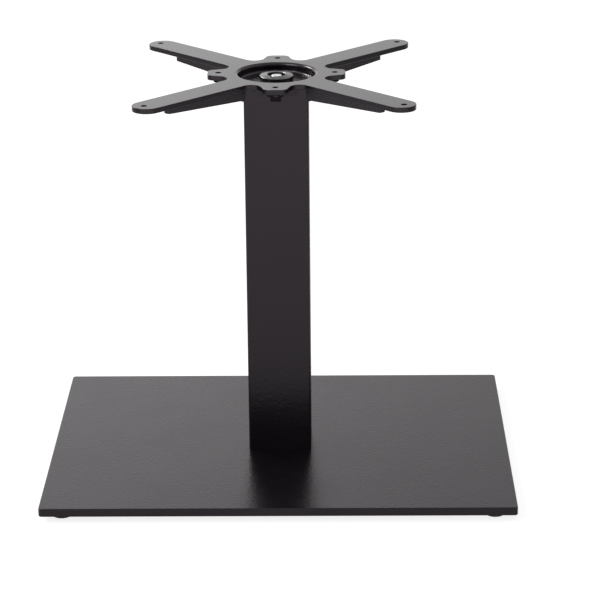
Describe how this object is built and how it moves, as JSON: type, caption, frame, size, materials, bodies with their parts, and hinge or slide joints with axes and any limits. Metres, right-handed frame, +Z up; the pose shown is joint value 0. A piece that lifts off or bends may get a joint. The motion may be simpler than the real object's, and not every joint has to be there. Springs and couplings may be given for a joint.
{
  "type": "coffee table base",
  "caption": "Coffee table base: flat rectangular plate on levelling feet, square column and a cast cross-shaped spider that a table top screws to.",
  "frame": {"origin": "on the floor under the axis of the column, feet screwed fully in", "axes": "+X along the long side of the plate, +Y from the front to the rear, +Z up the column"},
  "size_m": [0.55, 0.41, 0.478],
  "materials": {
    "black_coat": "satin black powder coat with a fine orange peel",
    "cast_black_coat": "black powder coat over a cast surface",
    "black_steel": "blackened turned steel",
    "plain_steel": "mill finish",
    "zinc_steel": "bright zinc plate",
    "black_nylon": "moulded black nylon"
  },
  "bodies": {
    "pedestal": {"base_plate": "black_coat", "column": "black_coat", "column_locator": "plain_steel", "spider": "cast_black_coat", "clamp_collar": "black_steel", "tie_rod": "zinc_steel", "top_washer": "black_steel", "top_nut": "black_steel", "bottom_washer": "zinc_steel", "bottom_nut": "zinc_steel", "locator_screw_left": "zinc_steel", "locator_screw_right": "zinc_steel"},
    "foot_front_left": {"foot_pad_front_left": "black_nylon", "foot_stud_front_left": "zinc_steel"},
    "foot_front_right": {"foot_pad_front_right": "black_nylon", "foot_stud_front_right": "zinc_steel"},
    "foot_rear_left": {"foot_pad_rear_left": "black_nylon", "foot_stud_rear_left": "zinc_steel"},
    "foot_rear_right": {"foot_pad_rear_right": "black_nylon", "foot_stud_rear_right": "zinc_steel"}
  },
  "joints": [
    {"name": "level_front_left", "type": "slide", "parent": "pedestal", "child": "foot_front_left", "axis": [0, 0, -1], "range_m": [0, 0.004]},
    {"name": "level_front_right", "type": "slide", "parent": "pedestal", "child": "foot_front_right", "axis": [0, 0, -1], "range_m": [0, 0.004]},
    {"name": "level_rear_left", "type": "slide", "parent": "pedestal", "child": "foot_rear_left", "axis": [0, 0, -1], "range_m": [0, 0.004]},
    {"name": "level_rear_right", "type": "slide", "parent": "pedestal", "child": "foot_rear_right", "axis": [0, 0, -1], "range_m": [0, 0.004]}
  ]
}
